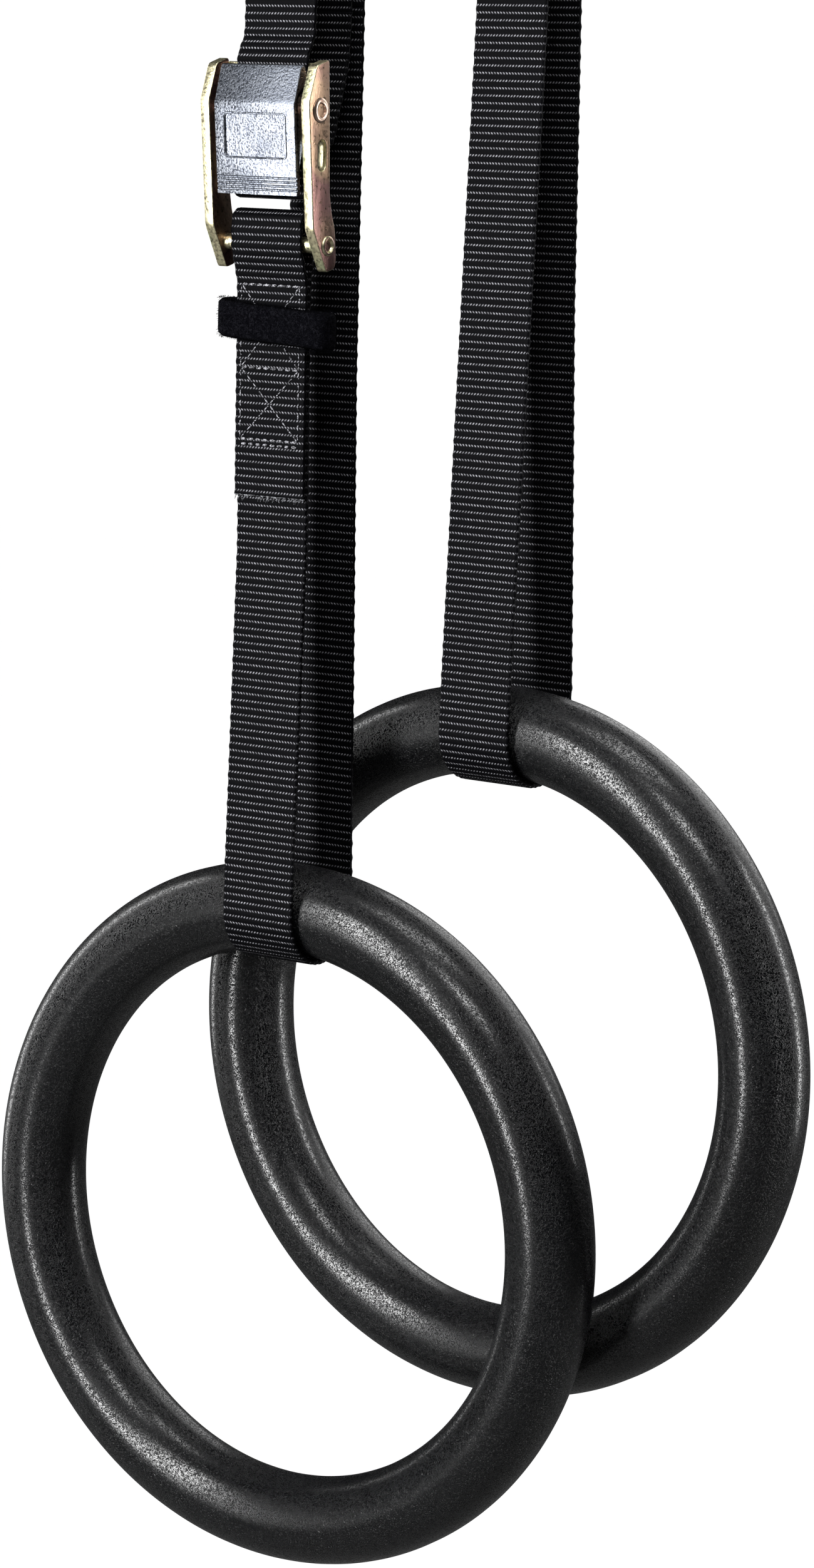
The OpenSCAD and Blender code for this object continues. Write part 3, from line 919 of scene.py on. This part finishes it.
def buckle_frame(ring_set):
    """Two side plates folded up from a base plate."""
    s = ring_set
    side = rounded([(4.4, 15), (3.8, 15.6), (-2.2, 13.8), (-6, 2.5), (-2.2, -37),
                    (5.3, -50.6), (9.8, -49.4), (10.5, -47), (9.6, -37.5), (7.6, -32),
                    (6.3, -26), (5.6, -8)], 1.3)
    slot = []
    slot_r = SLOT_W / 2
    for up, start in ((1, 0), (-1, 180)):
        middle = SLOT_Z + up * (SLOT_H / 2 - slot_r)
        for k in range(9):
            a = math.radians(start + 180 * k / 8)
            slot.append((SLOT_Y + slot_r * math.cos(a), middle + slot_r * math.sin(a)))
    pieces = []
    for x in (-1, 1):
        pieces.append(plate("side", s, side, (slot,), x * (INNER_W + PLATE_T) / 2, PLATE_T,
                            0.35, MATERIALS["zinc_yellow"]))
    near, far = BASE_Y - BASE_T / 2, BASE_Y + BASE_T / 2
    base = rounded([(near, BASE_BOTTOM), (far, BASE_BOTTOM), (far, BASE_TOP), (near, BASE_TOP)],
                   0.6)
    pieces.append(plate("base", s, base, (), 0, INNER_W + 0.6, 0.1, MATERIALS["zinc_yellow"]))
    joined(s.name("buckle_frame_plates"), pieces)
    finish_piece(pieces[0], s.name("drop"), [s.name("buckle_frame")])


def joined(name, pieces):
    """Puts every piece's mesh into the first one."""
    bm = bmesh.new()
    for piece in pieces:
        bm.from_mesh(piece.data)
    bm.to_mesh(pieces[0].data)
    bm.free()
    pieces[0].name = pieces[0].data.name = name
    for piece in pieces[1:]:
        bpy.data.objects.remove(piece)


def cam_lever(ring_set):
    """A cast lever: front shell, sloping top, toothed nose and two ears."""
    s = ring_set
    shell = [LEVER_LOW, (-4.9, -12.6), LEVER_HIGH, (-5.8, 2.9), (-3.2, 12.2),
             (-2.6, 13.6), (-1.9, 13.9), (-0.7, 13.2), (1.8, 7.6), (2.4, 6.4), (1.8, 5.9),
             (2.1, 5.2), (1.2, 4.4), (-2.6, 4.6), (-4.3, 3.0), (-1.7, -26.4)]
    lever = plate("lever", s, shell, (), 0, LEVER_W, 0.3, MATERIALS["zinc_bright"])
    ears = []
    outline = [(-5.4, 3.8), (-1.6, 7.4), (1.6, 5.4), (3.6, 0.8), (2.9, -2.2), (1, -3.6),
               (-2.9, -20), (-3.4, -20)]
    bore = circle_outline((0, 0), 2.05)
    for x in (-1, 1):
        ears.append(plate("ear", s, rounded(outline, 1.6), (bore,), x * (LEVER_W - EAR_T) / 2,
                          EAR_T, 0.2, MATERIALS["zinc_bright"]))
    # the recessed panel, the raised line round it and the grip's grooves
    half_w, half_h = PANEL_W / 2, PANEL_H / 2
    panel = rounded([(-half_w, -half_h), (half_w, -half_h), (half_w, half_h),
                     (-half_w, half_h)], 1.2, 4)

    def face_point(x, z, out):
        y = LEVER_LOW[0] - (z - LEVER_LOW[1]) * FACE_LEAN - out
        return s.at(x, s.pivot_y + y, s.pivot_z + z)

    cutters = []
    verts = [face_point(x, PANEL_Z + z, out) for out in (2.0, -PANEL_DEEP) for x, z in panel]
    n = len(panel)
    faces = [tuple(range(n)), tuple(range(2 * n - 1, n - 1, -1))]
    faces += [(k, n + k, n + (k + 1) % n, (k + 1) % n) for k in range(n)]
    cutters.append((verts, faces))
    for i in range(4):
        ends = [face_point(x, GROOVE_Z + i * GROOVE_PITCH, 0.0) for x in (-17, 17)]
        cutters.append(tube(ends, GROOVE_R * MM, sides=10))
    line = [face_point(x * 1.03, PANEL_Z + z * 1.05, 0.0) for x, z in panel]
    for verts, faces in cutters:
        cutter = add_mesh("cutter", verts, faces, MATERIALS["zinc_bright"], smooth=False)
        face_out(cutter.data)
        cut(lever, cutter)
    rim = add_mesh("rim", *tube(line, 0.34 * MM, sides=8, closed=True), MATERIALS["zinc_bright"])
    joined(s.name("cam_lever_casting"), [lever, rim] + ears)
    lever.data.set_sharp_from_angle(angle=math.radians(35))
    finish_piece(lever, s.name("lever"), [s.name("cam_lever")])


def rivets(ring_set):
    """The hollow pivot rivet and the bar, with their pressed heads."""
    s = ring_set
    outer = INNER_W / 2 + PLATE_T
    pivot = [(-0.1, 2.0), (outer, 2.0), (outer, 3.95), (outer + 0.35, 3.9), (outer + 0.75, 3.4),
             (outer + 0.9, 2.9), (outer + 0.7, 2.3), (outer - 0.3, 1.9), (outer - 2.5, 1.2),
             (-0.1, 1.2)]
    bar = [(-0.1, 2.5), (outer, 2.5), (outer, 3.2), (outer + 0.4, 3.15), (outer + 0.75, 2.8),
           (outer + 0.85, 2.3), (outer + 0.4, 1.8), (outer - 2.0, 1.0), (outer - 2.2, 0.0)]
    places = (("pivot_rivet", "copper_steel", pivot, (0, s.pivot_y, s.pivot_z)),
              ("webbing_bar", "zinc_yellow", bar, (0, s.back + BAR_Y, s.pivot_z + BAR_Z)))
    for node, slot, profile, place in places:
        verts, faces = join([lathe(s, profile, 1, place), lathe(s, profile, -1, place)])
        piece = add_mesh(s.name(node + "_turned"), verts, faces, MATERIALS[slot])
        face_out(piece.data, weld=2e-5)
        piece.data.set_sharp_from_angle(angle=math.radians(40))
        finish_piece(piece, s.name("drop"), [s.name(node)])


def torsion_spring(ring_set):
    """Wire coiled round the rivet, one leg resting on the base plate."""
    s = ring_set
    turns, steps, radius, length = 9, 24, 2.3, 20.0
    points = [s.at(-length / 2 - 0.2, s.pivot_y + radius, s.pivot_z - 7 + k) for k in range(7)]
    for i in range(turns * steps + 1):
        a = 2 * math.pi * i / steps
        points.append(s.at(-length / 2 + length * i / (turns * steps),
                           s.pivot_y + radius * math.cos(a), s.pivot_z + radius * math.sin(a)))
    piece = add_mesh(s.name("torsion_spring_wire"), *tube(points, 0.25 * MM, sides=8),
                     MATERIALS["spring_steel"])
    finish_piece(piece, s.name("drop"), [s.name("torsion_spring")])


# ---------------------------------------------------------------- all of it
add_camera()
add_light()
add_floor()
MATERIALS = {"ring_plastic": ring_plastic(), "webbing": webbing_cloth(),
             "hook_and_loop": fuzzy_tape(), "thread": thread_cloth(),
             "melted_edge": melted_edge(), "zinc_yellow": yellow_zinc(),
             "zinc_bright": bright_zinc(), "copper_steel": copper_steel(),
             "spring_steel": spring_steel()}
for one in SETS:
    ring_half(one, front=True)
    ring_half(one, front=False)
    lower_strap(one)
    upper_strap(one)
    buckle_strap(one)
    melted_end(one, "cut_end", one.leg_y(FLAP_Z) - FLAP_STEP, one.pivot_z + FLAP_Z, -1)
    stitches(one)
    reach = (WEB_W + KEEPER_SLACK) / 2
    keeper_y = one.front_bend_y - KEEPER_FWD
    tape_band(one, "keeper_band", "keeper", "keeper_band", KEEPER_X - reach, KEEPER_X + reach,
              keeper_y - KEEPER_DEEP / 2, keeper_y + KEEPER_DEEP / 2, one.pivot_z + KEEPER_Z,
              KEEPER_H, 3, KEEPER_TILT)
    hank_front = one.back + HANK_Y + WEB_T / 2
    hank_depth = (HANK_LAYERS - 1) * LAYER_PITCH + WEB_T
    tape_band(one, "hank_tie_band", "hank_tie", "drop", -WEB_W / 2 - 0.5, WEB_W / 2 + 0.5,
              hank_front - hank_depth - TIE_GAP / 2, hank_front + TIE_GAP / 2,
              one.pivot_z + HANK_Z + HANK_LEN / 2, TIE_H, 5)
    buckle_frame(one)
    cam_lever(one)
    rivets(one)
    torsion_spring(one)
